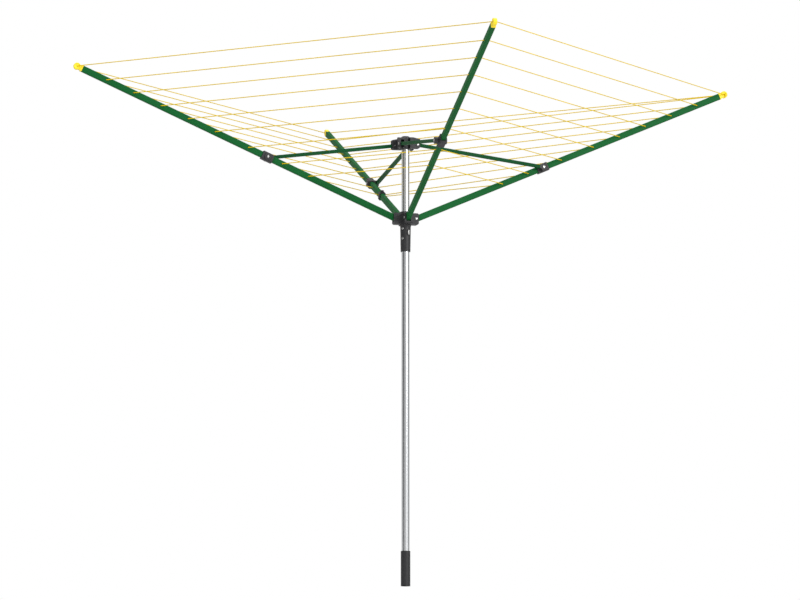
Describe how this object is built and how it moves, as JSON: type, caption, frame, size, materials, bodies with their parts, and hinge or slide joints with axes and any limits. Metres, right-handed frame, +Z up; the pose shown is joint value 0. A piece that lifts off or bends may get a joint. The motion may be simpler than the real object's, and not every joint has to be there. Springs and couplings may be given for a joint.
{
  "type": "rotary clothesline",
  "caption": "Folding rotary clothesline: arms on a sliding runner, struts from a fixed crown, a spiral line, and a turning pole in a ground sleeve.",
  "frame": {"origin": "on the pole's axis, at the bottom of the ground sleeve", "axes": "+Z up along the pole, +X along arm 1; arms 2, 3 and 4 are a quarter turn further each, seen from above"},
  "size_m": [3.0062, 3.0062, 2.2703],
  "materials": {
    "black_plastic": "matte",
    "black_sleeve": "satin",
    "pole_aluminium": "drawn, semi-bright",
    "steel": "bright zinc",
    "arm_green": "semi-gloss",
    "strut_green": "semi-gloss",
    "yellow_plastic": "gloss",
    "line_yellow": "smooth sheathed cord",
    "liner_white": "matte"
  },
  "bodies": {
    "ground_sleeve": {"ground_sleeve": "black_sleeve", "thrust_disc": "liner_white"},
    "mast": {"pole": "pole_aluminium", "pole_foot_plug": "black_plastic", "crown": "black_plastic", "crown_cap": "black_plastic", "crown_strut_pins": "steel", "crown_bolt": "steel"},
    "runner": {"runner": "black_plastic", "runner_liner": "liner_white", "arm_pivot_pins": "steel", "liner_screws": "steel"},
    "lock": {"lock_button": "steel", "lock_spring": "steel"},
    "arm_1": {"arm_tube_1": "arm_green", "arm_root_plug_1": "black_plastic", "arm_tip_cap_1": "yellow_plastic", "arm_bracket_1": "black_plastic", "bracket_rivet_1": "steel", "washing_line_1": "line_yellow"},
    "strut_1": {"strut_tube_1": "strut_green", "strut_eye_1": "black_plastic", "strut_end_pin_1": "steel"},
    "arm_2": {"arm_tube_2": "arm_green", "arm_root_plug_2": "black_plastic", "arm_tip_cap_2": "yellow_plastic", "arm_bracket_2": "black_plastic", "bracket_rivet_2": "steel", "washing_line_2": "line_yellow", "line_tensioner": "black_plastic", "tensioner_knob": "black_plastic"},
    "strut_2": {"strut_tube_2": "strut_green", "strut_eye_2": "black_plastic", "strut_end_pin_2": "steel"},
    "arm_3": {"arm_tube_3": "arm_green", "arm_root_plug_3": "black_plastic", "arm_tip_cap_3": "yellow_plastic", "arm_bracket_3": "black_plastic", "bracket_rivet_3": "steel", "washing_line_3": "line_yellow"},
    "strut_3": {"strut_tube_3": "strut_green", "strut_eye_3": "black_plastic", "strut_end_pin_3": "steel"},
    "arm_4": {"arm_tube_4": "arm_green", "arm_root_plug_4": "black_plastic", "arm_tip_cap_4": "yellow_plastic", "arm_bracket_4": "black_plastic", "bracket_rivet_4": "steel", "washing_line_4": "line_yellow"},
    "strut_4": {"strut_tube_4": "strut_green", "strut_eye_4": "black_plastic", "strut_end_pin_4": "steel"}
  },
  "joints": [
    {"name": "mast_spin", "type": "hinge", "parent": "ground_sleeve", "child": "mast", "pos_m": [0, 0, 0.009], "axis": [0, 0, 1], "continuous": true},
    {"name": "runner_slide", "type": "slide", "parent": "mast", "child": "runner", "axis": [0, 0, -1], "range_m": [0, 0.897]},
    {"name": "lock_press", "type": "slide", "parent": "runner", "child": "lock", "axis": [-0.342, 0.9397, 0], "range_m": [0, 0.002], "stiffness_N_per_m": 400, "springref_m": -0.002, "deforming": ["lock_spring"]},
    {"name": "arm_1_fold", "type": "hinge", "parent": "runner", "child": "arm_1", "pos_m": [0.046, 0, 1.633], "axis": [0, -1, 0], "range_deg": [0, 66.67], "deforming": ["washing_line_1"]},
    {"name": "strut_1_fold", "type": "hinge", "parent": "mast", "child": "strut_1", "pos_m": [0.046, -0.0275, 1.963], "axis": [0, 1, 0], "range_deg": [0, 82.44]},
    {"name": "arm_2_fold", "type": "hinge", "parent": "runner", "child": "arm_2", "pos_m": [0, 0.046, 1.633], "axis": [1, 0, 0], "range_deg": [0, 66.67], "deforming": ["washing_line_2"]},
    {"name": "strut_2_fold", "type": "hinge", "parent": "mast", "child": "strut_2", "pos_m": [0.0275, 0.046, 1.963], "axis": [-1, 0, 0], "range_deg": [0, 82.44]},
    {"name": "arm_3_fold", "type": "hinge", "parent": "runner", "child": "arm_3", "pos_m": [-0.046, 0, 1.633], "axis": [0, 1, 0], "range_deg": [0, 66.67], "deforming": ["washing_line_3"]},
    {"name": "strut_3_fold", "type": "hinge", "parent": "mast", "child": "strut_3", "pos_m": [-0.046, 0.0275, 1.963], "axis": [0, -1, 0], "range_deg": [0, 82.44]},
    {"name": "arm_4_fold", "type": "hinge", "parent": "runner", "child": "arm_4", "pos_m": [0, -0.046, 1.633], "axis": [-1, 0, 0], "range_deg": [0, 66.67], "deforming": ["washing_line_4"]},
    {"name": "strut_4_fold", "type": "hinge", "parent": "mast", "child": "strut_4", "pos_m": [-0.0275, -0.046, 1.963], "axis": [1, 0, 0], "range_deg": [0, 82.44]}
  ],
  "couplings": [
    {"joint": "arm_1_fold", "follows": "runner_slide", "rad_per_m": 1.2971},
    {"joint": "strut_1_fold", "follows": "runner_slide", "rad_per_m": 1.6038},
    {"joint": "arm_2_fold", "follows": "runner_slide", "rad_per_m": 1.2971},
    {"joint": "strut_2_fold", "follows": "runner_slide", "rad_per_m": 1.6038},
    {"joint": "arm_3_fold", "follows": "runner_slide", "rad_per_m": 1.2971},
    {"joint": "strut_3_fold", "follows": "runner_slide", "rad_per_m": 1.6038},
    {"joint": "arm_4_fold", "follows": "runner_slide", "rad_per_m": 1.2971},
    {"joint": "strut_4_fold", "follows": "runner_slide", "rad_per_m": 1.6038}
  ]
}
